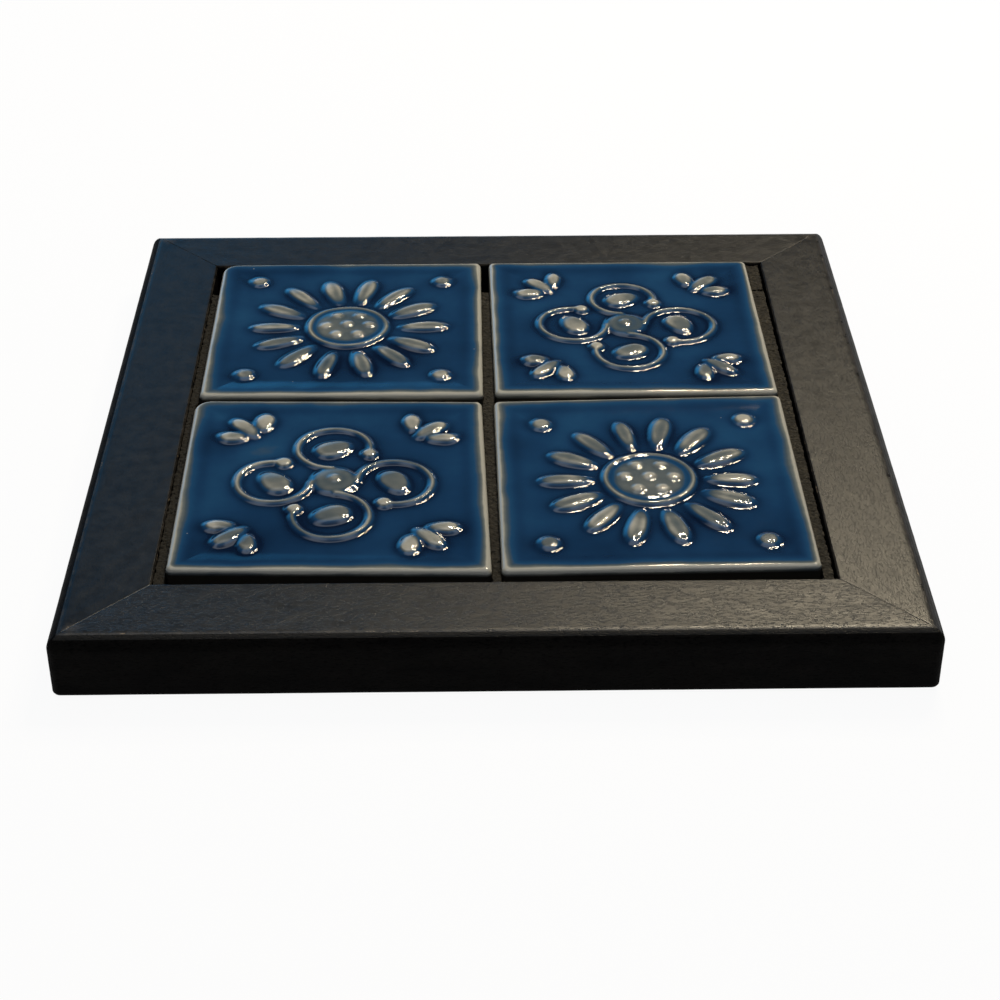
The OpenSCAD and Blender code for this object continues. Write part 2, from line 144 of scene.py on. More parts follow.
def rail_surface(seed):
    """Grid of points of a front rail, stations along it by points of its section. A station lies
    at the same run from the mitre at every depth: the run follows the eased corner's arc and then
    the straight, and the half length shrinks by the depth, which cuts the mitre. Within the
    mitre's arris the section draws in along its normals by (1 - run / arris)^2 of the drop, which
    leaves a fine V, and slow noise makes the whole rail a little uneven. Returns the section, the
    grid and each point's run from the mitre, up to the joint's reach."""
    section = rail_section()
    tangent = np.roll(section, -1, axis=0) - np.roll(section, 1, axis=0)
    normal = np.stack([tangent[:, 1], -tangent[:, 0]], axis=1)
    normal /= np.linalg.norm(normal, axis=1)[:, None]
    middle = np.arange(1, long_stations + 1) / long_stations
    fixed = np.concatenate([mitre_stations, np.full(long_stations, mitre_stations[-1])])
    flexed = np.concatenate([np.zeros(len(mitre_stations)), middle])

    draw = arris_drop * np.clip(1 - fixed / mitre_arris, 0, 1) ** 2
    along = fixed[:, None] + flexed[:, None] * frame_half
    around = section[None, :, 0] * 2 + section[None, :, 1] * 3
    wave = rail_wave * soft_noise(along, around, rail_wave_size, seed)
    inward = draw[:, None] + np.abs(wave)
    depth = section[None, :, 0] + normal[None, :, 0] * inward
    height = section[None, :, 1] + normal[None, :, 1] * inward

    radius = np.clip(corner_ease - depth, 0, None)
    corner = radius * math.pi / 4
    half = frame_half - depth
    total = half - radius + corner
    run = mitre_gap + fixed[:, None] + (total - fixed[-1] - mitre_gap) * flexed[:, None]
    on_arc = run < corner
    angle = math.pi / 4 - np.divide(run, radius, out=np.zeros_like(run), where=on_arc)
    x = np.where(on_arc, half - radius + radius * np.sin(angle), total - run)
    y = np.where(on_arc, depth + radius - radius * np.cos(angle), depth) - frame_half
    right = np.stack([x, y, height], axis=2)
    left = right[::-1] * np.array([-1, 1, 1])
    surface = np.concatenate([right, left[1:]])
    mitre = np.concatenate([run, run[::-1][1:]])
    return section, surface, np.minimum(mitre, joint_reach)


def grid_quads(rows, cols, closed=True):
    """Corner numbers of the quads of a grid whose point (i, j) is number i * cols + j. A closed
    grid also joins the last column to the first."""
    i, j = np.meshgrid(np.arange(rows - 1), np.arange(cols if closed else cols - 1), indexing="ij")
    right = (j + 1) % cols
    quads = np.stack([i * cols + j, (i + 1) * cols + j, (i + 1) * cols + right, i * cols + right])
    return quads.reshape(4, -1).T


def tube_faces(rows, cols):
    """Faces of a closed grid: its quads, and a cap over each end."""
    caps = [list(range(cols)), list(range((rows - 1) * cols, rows * cols))]
    return grid_quads(rows, cols).tolist() + caps


def make_piece(name, points, faces, materials, values=None, sharp=35):
    """A mesh object at the origin, with its faces turned outwards, smooth but for edges that turn
    by more than the sharp angle. values holds numbers for each point, by name."""
    mesh = bpy.data.meshes.new(name)
    mesh.from_pydata(np.asarray(points).reshape(-1, 3).tolist(), [], faces)
    for key, numbers in (values or {}).items():
        attribute = mesh.attributes.new(key, "FLOAT", "POINT")
        attribute.data.foreach_set("value", np.asarray(numbers, dtype=np.float32).ravel())
    solid = bmesh.new()
    solid.from_mesh(mesh)
    bmesh.ops.recalc_face_normals(solid, faces=solid.faces)
    solid.to_mesh(mesh)
    solid.free()
    mesh.shade_smooth()
    mesh.set_sharp_from_angle(angle=math.radians(sharp))
    for material in materials:
        mesh.materials.append(material)
    piece = bpy.data.objects.new(name, mesh)
    bpy.context.scene.collection.objects.link(piece)
    return piece


def new_finish(name):
    """An empty material with a Principled surface. Returns the material, its node tree, the
    Principled node and the Object coordinates."""
    material = bpy.data.materials.new(name)
    material.use_nodes = True
    tree = material.node_tree
    surface = tree.nodes["Principled BSDF"]
    place = tree.nodes.new("ShaderNodeTexCoord").outputs["Object"]
    return material, tree, surface, place


def set_inputs(tree, node, inputs):
    """Sets inputs of a shader node, by their names or numbers. Each gets a number, a colour or
    another node's socket."""
    for key, value in inputs.items():
        if isinstance(value, bpy.types.NodeSocket):
            tree.links.new(value, node.inputs[key])
        else:
            node.inputs[key].default_value = value


def add_node(tree, kind, inputs=None, **settings):
    """A shader node with these inputs and settings."""
    node = tree.nodes.new("ShaderNode" + kind)
    for key, value in settings.items():
        setattr(node, key, value)
    set_inputs(tree, node, inputs or {})
    return node


def add_math(tree, operation, first, second):
    """One step of arithmetic on two numbers, or sockets."""
    return add_node(tree, "Math", {0: first, 1: second}, operation=operation).outputs[0]


def add_stretch(tree, place, counts):
    """The place counted in patterns to the metre along X, Y and Z."""
    return add_node(tree, "Mapping", {"Vector": place, "Scale": counts}).outputs[0]


def add_noise(tree, place, scale, detail, roughness=0.5, distortion=0.0):
    """Cloudy noise about 0.5, with the scale's count of patterns to the metre."""
    return add_node(tree, "TexNoise", {"Vector": place, "Scale": scale, "Detail": detail,
                                       "Roughness": roughness,
                                       "Distortion": distortion}).outputs["Fac"]


def add_range(tree, value, given, wanted):
    """The value moved from the given range to the wanted one, and held at its ends."""
    return add_node(tree, "MapRange", {"Value": value, "From Min": given[0],
                                       "From Max": given[1], "To Min": wanted[0],
                                       "To Max": wanted[1]}).outputs[0]


def add_bump(tree, height, strength, distance, below=None):
    """Fine relief by a height pattern, over the relief below it. The distance is in metres."""
    inputs = {"Height": height, "Strength": strength, "Distance": distance}
    if below is not None:
        inputs["Normal"] = below
    return add_node(tree, "Bump", inputs).outputs[0]


def add_ramp(tree, factor, stops):
    """Colour along a factor: stops are pairs of position and linear colour, or grey level."""
    ramp = add_node(tree, "ValToRGB", {"Fac": factor})
    spots = ramp.color_ramp.elements
    while len(spots) < len(stops):
        spots.new(1.0)
    for spot, (position, colour) in zip(spots, stops):
        spot.position = position
        shade = (colour,) * 3 if isinstance(colour, (int, float)) else colour
        spot.color = (*shade, 1.0)
    return ramp.outputs["Color"]


def add_mix(tree, factor, first, second):
    """Colour that goes from the first to the second as the factor goes from 0 to 1."""
    mix = add_node(tree, "Mix", data_type="RGBA")
    colours = [s for s in mix.inputs if s.type == "RGBA"]
    for socket, value in [(mix.inputs[0], factor), (colours[0], first), (colours[1], second)]:
        if isinstance(value, bpy.types.NodeSocket):
            tree.links.new(value, socket)
        else:
            socket.default_value = value if isinstance(value, (int, float)) else (*value, 1.0)
    return next(s for s in mix.outputs if s.type == "RGBA")


def wood_finish(name, grain, pore_depth, figure_depth, chipping, shine, roughness):
    """Wood with a black stain and open pores along the grain, polished on its arrises, with a
    little lint. The arrises turn a lighter rubbed brown with pale flecks, and the mitres show bare
    wood
    in flecks: wear, and on the top's outer edge and near the corners also a painted highlight.
    grain is the pattern's count to the metre along X, Y and Z, the depths are in metres, chipping
    is how readily the stain flakes, and shine is the share of light that the wax sends back."""
    material, tree, surface, place = new_finish(name)
    stretched = add_stretch(tree, place, grain)
    figure = add_noise(tree, stretched, scale=0.10, detail=5.0, roughness=0.62)
    fibre = add_noise(tree, stretched, scale=1.0, detail=2.0, roughness=0.6)
    pores = add_ramp(tree, fibre, [(0.37, 0.0), (0.48, 1.0)])
    stain = add_ramp(tree, figure, [(0.30, wood_black), (0.72, wood_brown)])
    stain = add_mix(tree, pores, wood_pore, stain)

    # The lighter rubbed brown on the arrises is wear, and on the top's outer edge and near the
    # corners also a painted highlight.
    patches = add_noise(tree, place, scale=260.0, detail=4.0, roughness=0.7)
    arris = add_node(tree, "Attribute", attribute_name="arris").outputs["Fac"]
    rub_and_glint = add_math(tree, "MULTIPLY", arris, patches)
    stain = add_mix(tree, add_ramp(tree, rub_and_glint, [(0.34, 0.0), (0.62, 1.0)]), stain, rubbed_brown_and_glint)

    # The pale flecks are wear along the mitres, and along the arrises partly a painted highlight.
    joint = add_node(tree, "Attribute", attribute_name="joint").outputs["Fac"]
    near = add_range(tree, joint, (0.00015, 0.00045), (1.0, 0.0))
    near = add_math(tree, "MAXIMUM", near, arris)
    chips_and_glints = add_noise(tree, place, scale=190.0, detail=4.0, roughness=0.7)
    chips_and_glints = add_math(tree, "MULTIPLY", near, chips_and_glints)
    chips_and_glints = add_math(tree, "MULTIPLY", chips_and_glints, chipping)
    chips_and_glints = add_ramp(tree, chips_and_glints, [(0.58, 0.0), (0.63, 1.0)])
    stain = add_mix(tree, chips_and_glints, stain, bare_wood_and_glint)
    cells = add_node(tree, "TexVoronoi", {"Vector": place, "Scale": 62.0})
    lone = add_ramp(tree, cells.outputs["Color"], [(0.62, 0.0), (0.66, 1.0)])
    speck = add_ramp(tree, cells.outputs["Distance"], [(0.014, 1.0), (0.026, 0.0)])
    speck = add_math(tree, "MULTIPLY", lone, speck)
    stain = add_mix(tree, speck, stain, wood_lint)

    gloss = add_range(tree, patches, (0.3, 0.7), (roughness - 0.05, roughness + 0.07))
    gloss = add_node(tree, "Math", {0: arris, 1: -0.07, 2: gloss},
                     operation="MULTIPLY_ADD").outputs[0]
    relief = add_bump(tree, figure, strength=0.5, distance=figure_depth)
    relief = add_bump(tree, pores, strength=0.7, distance=pore_depth, below=relief)
    set_inputs(tree, surface, {"Base Color": stain, "Roughness": gloss, "Normal": relief,
                               "Specular IOR Level": shine})
    return material


grain_along_x = (600.0, 2300.0, 2300.0)
grain_along_y = (2300.0, 600.0, 2300.0)
# The last two numbers of a rail say how far down the round the wax is whole, and how far some of
# it is left, as shares of the round's height.
for name, turn, grain, pore_depth, figure_depth, chipping, wax_whole, wax_gone in [
        ("front_rail", 0, grain_along_x, 0.00008, 0.00012, 1.0, 0.07, 0.25),
        ("right_rail", 90, grain_along_y, 0.00004, 0.00012, 1.0, 0.14, 0.36),
        ("back_rail", 180, grain_along_x, 0.00002, 0.00005, 0.88, 0.10, 0.30),
        ("left_rail", 270, grain_along_y, 0.00001, 0.00008, 0.97, 0.02, 0.07)]:
    finishes = [wood_finish("black_wood_" + part + "_" + name, grain, pore_depth, figure_depth,
                            chipping, shine, roughness)
                for part, shine, roughness in [("top", 0.42, 0.37), ("edge", 0.16, 0.48),
                                               ("side", 0.02, 0.60)]]
    section, surface, joint = rail_surface(seed=11 + turn)
    rows, cols = surface.shape[:2]
    c, s = round(math.cos(math.radians(turn))), round(math.sin(math.radians(turn)))
    points = surface @ np.array([[c, s, 0], [-s, c, 0], [0, 0, 1]])
    depth = section[:, 0]
    drop = np.clip((rail_top - section[:, 1]) / top_round, 0, 1)
    on_top = drop < worn_drop
    # The shoulder band and the corner patch are worn and polished, and their lighter colour is
    # also a painted highlight.
    shoulder = np.exp(-((depth - shoulder_in) / shoulder_w) ** 2) * on_top
    lip = np.exp(-((depth - rail_w) / lip_w) ** 2) * on_top
    corner_wear_glint = corner_wear_glint_most * np.exp(-((depth - corner_wear_glint_in) / corner_wear_glint_w) ** 2) * on_top
    corner_wear_glint = corner_wear_glint * np.exp(-(joint / corner_wear_glint_run) ** 2)
    arris = np.maximum(np.maximum(shoulder, lip), corner_wear_glint)
    rail = make_piece("wooden_" + name, points, tube_faces(rows, cols), finishes,
                      {"arris": arris, "joint": joint})
    dull = len(finishes) - 1
    slot = (drop > wax_whole).astype(int) + (drop > wax_gone)
    slot = np.where(depth < rail_w - opening_ease / 2, slot, dull)
    slot = np.maximum(slot, np.roll(slot, -1))
    slots = np.concatenate([np.tile(slot, rows - 1), [dull, dull]]).astype(np.int32)
    rail.data.polygons.foreach_set("material_index", slots)
    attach(rail, "root")
    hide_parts(name)

# Base panel
# A square of birch plywood, let into the rabbet and pinned. Its top is painted black as shade,
# so that the joints between the tiles look dark, and its underside is bare.

panel_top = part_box("base_panel")[1].z
top_shade_depth = 0.0003
birch_pale = (0.560, 0.400, 0.235)
birch_dark = (0.385, 0.240, 0.120)
panel_top_shade = (0.0060, 0.0055, 0.0050)


def plywood_finish():
    """Rotary-cut birch veneer: long wavy figure along X, fine dark flecks, and the top face
    painted black as the shade in the joints between the tiles."""
    material, tree, surface, place = new_finish("birch_plywood")
    along = add_stretch(tree, place, (5.0, 46.0, 46.0))
    figure = add_noise(tree, along, scale=1.0, detail=6.0, roughness=0.6, distortion=1.4)
    along = add_stretch(tree, place, (160.0, 2600.0, 900.0))
    flecks = add_noise(tree, along, scale=1.0, detail=2.0)
    veneer = add_ramp(tree, figure, [(0.34, birch_dark), (0.60, birch_pale)])
    fleck = add_ramp(tree, flecks, [(0.30, 0.55), (0.42, 1.0)])
    veneer = add_node(tree, "Mix", {0: 1.0, 6: veneer, 7: fleck}, data_type="RGBA",
                      blend_type="MULTIPLY").outputs[2]
    # Painted shade: the top face is painted black so that the joints between the tiles look dark.
    level = add_node(tree, "SeparateXYZ", {0: place}).outputs["Z"]
    top_shade = add_math(tree, "GREATER_THAN", level, panel_top - top_shade_depth)
    colour = add_mix(tree, top_shade, veneer, panel_top_shade)
    relief = add_bump(tree, flecks, strength=0.5, distance=0.00006)
    set_inputs(tree, surface, {"Base Color": colour, "Roughness": 0.68, "Normal": relief,
                               "Specular IOR Level": 0.3})
    return material


def dress(node, material):
    """Gives a CAD solid this finish in place of its own."""
    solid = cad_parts[node]
    solid.data.materials.clear()
    solid.data.materials.append(material)


dress("base_panel", plywood_finish())

# Panel pins and mitre nails
# Bright steel wire pins hold the panel up in the rabbet, and folded strip nails, driven from
# below, close the mitres. Their steel is drawn lengthwise and a little tarnished.

steel_bright = (0.560, 0.555, 0.540)
steel_dull = (0.300, 0.270, 0.235)
corner_names = ["front_left", "front_right", "back_left", "back_right"]


def steel_finish():
    """Drawn steel: fine lines along Z, with brown tarnish in soft patches."""
    material, tree, surface, place = new_finish("drawn_steel")
    along = add_stretch(tree, place, (9000.0, 9000.0, 500.0))
    lines = add_noise(tree, along, scale=1.0, detail=2.0)
    tarnish = add_noise(tree, place, scale=320.0, detail=4.0)
    colour = add_ramp(tree, tarnish, [(0.42, steel_bright), (0.66, steel_dull)])
    gloss = add_range(tree, lines, (0.0, 1.0), (0.22, 0.48))
    set_inputs(tree, surface, {"Base Color": colour, "Roughness": gloss, "Metallic": 1.0})
    return material


steel = steel_finish()
for node in ["panel_pins"] + [corner + "_nails" for corner in corner_names]:
    dress(node, steel)

# Adhesive beds
# Grey tile adhesive, combed into ridges on the panel, carries each tile. It is a sanded cement
# that has set hard, with small voids where the trowel dragged.

cement_pale = (0.520, 0.490, 0.430)
cement_dark = (0.300, 0.280, 0.245)


def cement_finish():
    """Sanded cement: fine cloudy grain and round voids, painted dark inside as shade."""
    material, tree, surface, place = new_finish("sanded_cement")
    grains = add_noise(tree, place, scale=1500.0, detail=5.0, roughness=0.7)
    voids = add_node(tree, "TexVoronoi", {"Vector": place, "Scale": 520.0}).outputs["Distance"]
    voids = add_ramp(tree, voids, [(0.10, 0.0), (0.22, 1.0)])
    colour = add_ramp(tree, grains, [(0.35, cement_dark), (0.62, cement_pale)])
    # Painted shade: the voids take the dark cement colour.
    colour = add_mix(tree, voids, cement_dark, colour)
    relief = add_bump(tree, grains, strength=0.7, distance=0.00015)
    relief = add_bump(tree, voids, strength=0.7, distance=0.00020, below=relief)
    set_inputs(tree, surface, {"Base Color": colour, "Roughness": 0.92, "Normal": relief})
    return material


cement = cement_finish()
for corner in corner_names:
    dress(corner + "_bed", cement)

# Tiles
# Thick tiles of brown stoneware, pressed with a dished field and raised relief: a daisy on two and
# scrolls with buds on two. One glossy blue glaze runs thin to a grey cream on rims and relief, and
# pools to navy beside them. None is cut quite square.

tile_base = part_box("front_left_tile")[0].z
tile_t = 0.0110
edge_r = 0.0018
rim_w = 0.0009
slope_w = 0.0086
field_sink = 0.00070
field_round = 0.0060
rim_round = 0.0032
relief_margin = 0.0073
tile_bevel = 0.0006
plan_slack = 0.00002
corner_r = 0.0019
blunt_r = 0.0055
crest_inset = edge_r + rim_w
field_inset = crest_inset + slope_w
edge_rings = 12
slope_rings = 20
field_rings = 104
side_rings = 10

petal_h = 0.00150
heart_h = 0.001334
line_h = 0.00110
line_w = 0.0023
seed_h = 0.00065
middle_seed_h = 0.00075
hub_h = petal_h * 0.85
boss_h = 0.00050
crease_w = 0.0006
crease_share = 0.13
petal_count = 14
seed_count = 6
scroll_sweep = math.radians(285)
bud_turn = math.radians(115)
fan_turn = math.radians(48)

# Places and sizes of the relief's shapes, as shares of half its width.
heart_r = 0.34
petal_place, petal_length, petal_width = 0.415, 0.475, 0.178
bead_place, bead_w = 0.83, 0.19
seed_place, seed_w = 0.19, 0.11
hub_w, boss_w = 0.40, 0.17
scroll_place, scroll_r, scroll_end_w = 0.47, 0.29, 0.145
bud_place, bud_length, bud_width = 0.17, 0.35, 0.25
fan_place, fan_gap, fan_width = 0.62, 0.08, 0.17
fan_lengths = [(-1, 0.27), (0, 0.36), (1, 0.27)]

# How the relief is warped and softened, and the two waves in the glaze over it.
warp, warp_size = 0.00042, 0.016
soft_passes = 5
slow_wave, slow_wave_size = 0.00016, 0.024
quick_wave, quick_wave_size = 0.00005, 0.006
wave_from_edge = 0.003

# Where the glaze has thinned or pooled, in metres, and how far it has, as shares of its depth.
# The deepening towards the front starts and ends at shares of the way from middle to front edge.
thin_rim_w = 0.0009
fade_w, fade_change, fade_change_size, fade_front = 0.0018, 0.0004, 0.018, 0.0006
# Painted shade: the thin glaze is cut back on the outermost part of the edge's round, which turns
# down.
edge_shade_low, edge_shade_high, edge_shade_share = 0.00002, 0.00030, 0.75
relief_low, relief_high, relief_share = 0.00020, 0.00105, 0.66
crest_passes, crest_h, crest_share = 16, 0.00020, 0.28
thin_passes = 2
pool_passes, pool_h, pool_share = 40, 0.00030, 0.42
foot_in, foot_w, foot_share = 0.0058, 0.0021, 0.32
crowd_passes, crowd_h, crowd_share = 220, 0.00050, 0.20
frontward_low, frontward_high, frontward_share = 0.1, 0.9, 0.09
drift_size, drift_share = 0.020, 0.13
mean_share, thinned_share, side_share = 0.48, 0.53, 0.26


def smooth_step(low, high, value):
    """0 below low and 1 above high, and 3t^2 - 2t^3 between them."""
    t = np.clip((value - low) / (high - low), 0, 1)
    return t * t * (3 - 2 * t)


def tile_plan(node):
    """The four sharp corners of a tile's plan, from its front left and round by the right: the
    long straight stretches of its outline just above the bevel, run on until they meet."""
    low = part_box(node)[0].z
    co = np.array([v.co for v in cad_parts[node].data.vertices])
    ring = co[np.abs(co[:, 2] - low - tile_bevel) < plan_slack][:, :2]
    ring = np.unique(np.round(ring, 7), axis=0)
    middle = (ring.min(axis=0) + ring.max(axis=0)) / 2
    ring = ring[np.argsort(np.arctan2(ring[:, 1] - middle[1], ring[:, 0] - middle[0]))]
    ahead = np.roll(ring, -1, axis=0)
    long = np.sort(np.argsort(np.linalg.norm(ahead - ring, axis=1))[-4:])
    starts, ends = ring[long], ahead[long]
    corners = []
    for k in range(4):
        a, b = starts[k - 1], ends[k - 1] - starts[k - 1]
        c, d = starts[k], ends[k] - starts[k]
        share = ((c[0] - a[0]) * d[1] - (c[1] - a[1]) * d[0]) / (b[0] * d[1] - b[1] * d[0])
        corners.append(a + share * b)
    corners = np.array(corners)
    first = np.argmin(corners.sum(axis=1))
    return np.roll(corners, -first, axis=0)


def square_rings(insets, half, radii):
    """Points of a square grid drawn as rings. The ring at each inset is a square of half width
    half - inset with rounded corners of radius - inset, and a grid point keeps its share of the
    way along its side of the ring. Rows follow Y and columns X, both upwards. Returns x, y and
    the inset of every point."""
    count = len(insets) - 1
    steps = np.arange(-count, count + 1)
    b, a = np.meshgrid(steps, steps, indexing="ij")
    ring = np.maximum(np.abs(a), np.abs(b))
    inset = insets[count - ring]
    radius = np.where(a < 0, np.where(b < 0, radii[0], radii[3]),
                      np.where(b < 0, radii[1], radii[2]))
    radius = np.clip(radius - inset, 0, None)
    reach = half - inset
    upright = np.abs(a) >= np.abs(b)
    other = np.where(upright, np.abs(b), np.abs(a))
    share = other / np.maximum(ring, 1)
    flat = reach - radius
    run = share * (flat + radius * math.pi / 4)
    angle = np.where(radius > 0, np.clip(run - flat, 0, None) / np.maximum(radius, 1e-9), 0)
    along = np.where(run < flat, run, flat + radius * np.sin(angle))
    out = np.where(run < flat, reach, flat + radius * np.cos(angle))
    x = np.sign(a) * np.where(upright, out, along)
    y = np.sign(b) * np.where(upright, along, out)
    return x, y, inset


def from_edge(x, y, half, inset, round_r):
    """Distance in from the tile's edge: the inset, but in the corners that of an edge rounded to
    this radius, which is the radius less the distance to the centre of its arc."""
    past_x, past_y = np.abs(x) - half + round_r, np.abs(y) - half + round_r
    in_corner = (past_x > 0) & (past_y > 0)
    return np.minimum(np.where(in_corner, round_r - np.hypot(past_x, past_y), inset), inset)


def mound(x, y, start, turn, length, width, height, swell=0.6):
    """Height of a petal or bud that starts at start and runs along the turn: an egg-shaped
    pillow, widest at the swell's share of its length. With run the share of the way to a tip and
    across the share of the half width, r = run^1.9 + across^2.1, and the height is
    0.6 (1 - r) + 0.4 (1 - r^3)^0.5 of the full one: a dome with a crisp foot."""
    c, s = math.cos(turn), math.sin(turn)
    u = (x - start[0]) * c + (y - start[1]) * s - length * swell
    v = (y - start[1]) * c - (x - start[0]) * s
    run = np.abs(u) / np.where(u < 0, length * swell, length * (1 - swell))
    r = run ** 1.9 + np.abs(v / (width / 2)) ** 2.1
    r = np.minimum(r, 1)
    return height * (0.6 * (1 - r) + 0.4 * np.sqrt(1 - r ** 3))


def dome(x, y, centre, width, height):
    """Height of a round bead or dome: 0.5 (1 - r^2) + 0.5 (1 - r^6)^0.5 of the full one, at the
    share r of its radius."""
    r = np.minimum(np.hypot(x - centre[0], y - centre[1]) / (width / 2), 1)
    return height * (0.5 * (1 - r ** 2) + 0.5 * np.sqrt(1 - r ** 6))


def raised_line(x, y, centre, radius, start, sweep, width, height):
    """Height of a line along an arc: (1 - r^2)^0.7 of the full one, at the share r of its half
    width, with the arc going from the start angle through the sweep."""
    dx, dy = x - centre[0], y - centre[1]
    turn = np.mod(np.arctan2(dy, dx) - start, 2 * math.pi)
    r = np.abs(np.hypot(dx, dy) - radius) / (width / 2)
    return height * np.clip(1 - r ** 2, 0, None) ** 0.7 * (turn <= sweep)


def daisy(x, y, half, hand):
    """Relief of the daisy, of which the highest shape shows at each point: a domed heart in a
    ring, a circle of petals that each differ a little, and corner beads. Down the middle of a
    petal runs a crease of exp(-(v / w)^2). The seeds stand on the heart."""
    shapes = [
        dome(x, y, (0, 0), 2 * heart_r * half, heart_h),
        raised_line(x, y, (0, 0), heart_r * half, 0, 2 * math.pi, line_w, line_h),
    ]
    for k in range(petal_count):
        turn = 2 * math.pi * k / petal_count + hand.normal(0, 0.022)
        start = petal_place * half * (1 + hand.normal(0, 0.02))
        petal = mound(x, y, (start * math.cos(turn), start * math.sin(turn)),
                      turn + hand.normal(0, 0.03),
                      petal_length * half * (1 + hand.normal(0, 0.04)),
                      petal_width * half * (1 + hand.normal(0, 0.06)),
                      petal_h * (0.93 - abs(hand.normal(0, 0.06))))
        v = y * math.cos(turn) - x * math.sin(turn)
        shapes.append(petal * (1 - crease_share * np.exp(-(v / crease_w) ** 2)))
    for sx, sy in [(-1, -1), (1, -1), (1, 1), (-1, 1)]:
        away = half * (bead_place + hand.normal(0, 0.006))
        shapes.append(dome(x, y, (sx * away, sy * away), bead_w * half, line_h))
    relief = np.max(shapes, axis=0)
    seeds = [dome(x, y, (0, 0), seed_w * half, middle_seed_h)]
    away = seed_place * half
    for k in range(seed_count):
        turn = 2 * math.pi * (k + hand.normal(0, 0.04)) / seed_count
        seeds.append(dome(x, y, (away * math.cos(turn), away * math.sin(turn)), seed_w * half,
                          seed_h))
    return relief + np.max(seeds, axis=0)


def scrolls(x, y, half, hand):
    """Relief of the scrolls, of which the highest shape shows at each point: a hub with a boss,
    four hooked lines that run from it round buds to a bead, and a fan of petals in each corner."""
    shapes = [dome(x, y, (0, 0), hub_w * half, hub_h),
              dome(x, y, (0, 0), boss_w * half, hub_h + boss_h)]
    for k in range(4):
        lead = math.pi / 2 * k + hand.normal(0, 0.02)
        away = scroll_place * half
        centre = (away * math.cos(lead), away * math.sin(lead))
        radius = scroll_r * half * (1 + hand.normal(0, 0.02))
        start = lead + math.pi - scroll_sweep
        shapes.append(raised_line(x, y, centre, radius, start, scroll_sweep, line_w, line_h))
        tip = (centre[0] + radius * math.cos(start), centre[1] + radius * math.sin(start))
        shapes.append(dome(x, y, tip, scroll_end_w * half, petal_h * 0.9))
        turn = lead + bud_turn + hand.normal(0, 0.06)
        back_off = bud_place * half
        root = (centre[0] - back_off * math.cos(turn), centre[1] - back_off * math.sin(turn))
        shapes.append(mound(x, y, root, turn, bud_length * half, bud_width * half,
                            petal_h * (0.97 - abs(hand.normal(0, 0.03)))))
    for sx, sy in [(-1, -1), (1, -1), (1, 1), (-1, 1)]:
        root = (sx * fan_place * half, sy * fan_place * half)
        lead = math.atan2(sy, sx) + hand.normal(0, 0.04)
        for side, length in fan_lengths:
            turn = lead + side * fan_turn + hand.normal(0, 0.04)
            gap = abs(side) * fan_gap * half
            start = (root[0] + gap * math.cos(turn), root[1] + gap * math.sin(turn))
            shapes.append(mound(x, y, start, turn, length * half * (1 + hand.normal(0, 0.04)),
                                fan_width * half * (1 + hand.normal(0, 0.05)), petal_h * 0.93))
    return np.max(shapes, axis=0)


def spread(values, passes):
    """Each value shared with its neighbours along rows and columns, in parts of 1, 2 and 1, as
    often as passes says."""
    for _ in range(passes):
        wide = np.pad(values, 1, mode="edge")
        rows = (wide[:-2] + 2 * wide[1:-1] + wide[2:]) / 4
        values = (rows[:, :-2] + 2 * rows[:, 1:-1] + rows[:, 2:]) / 4
    return values


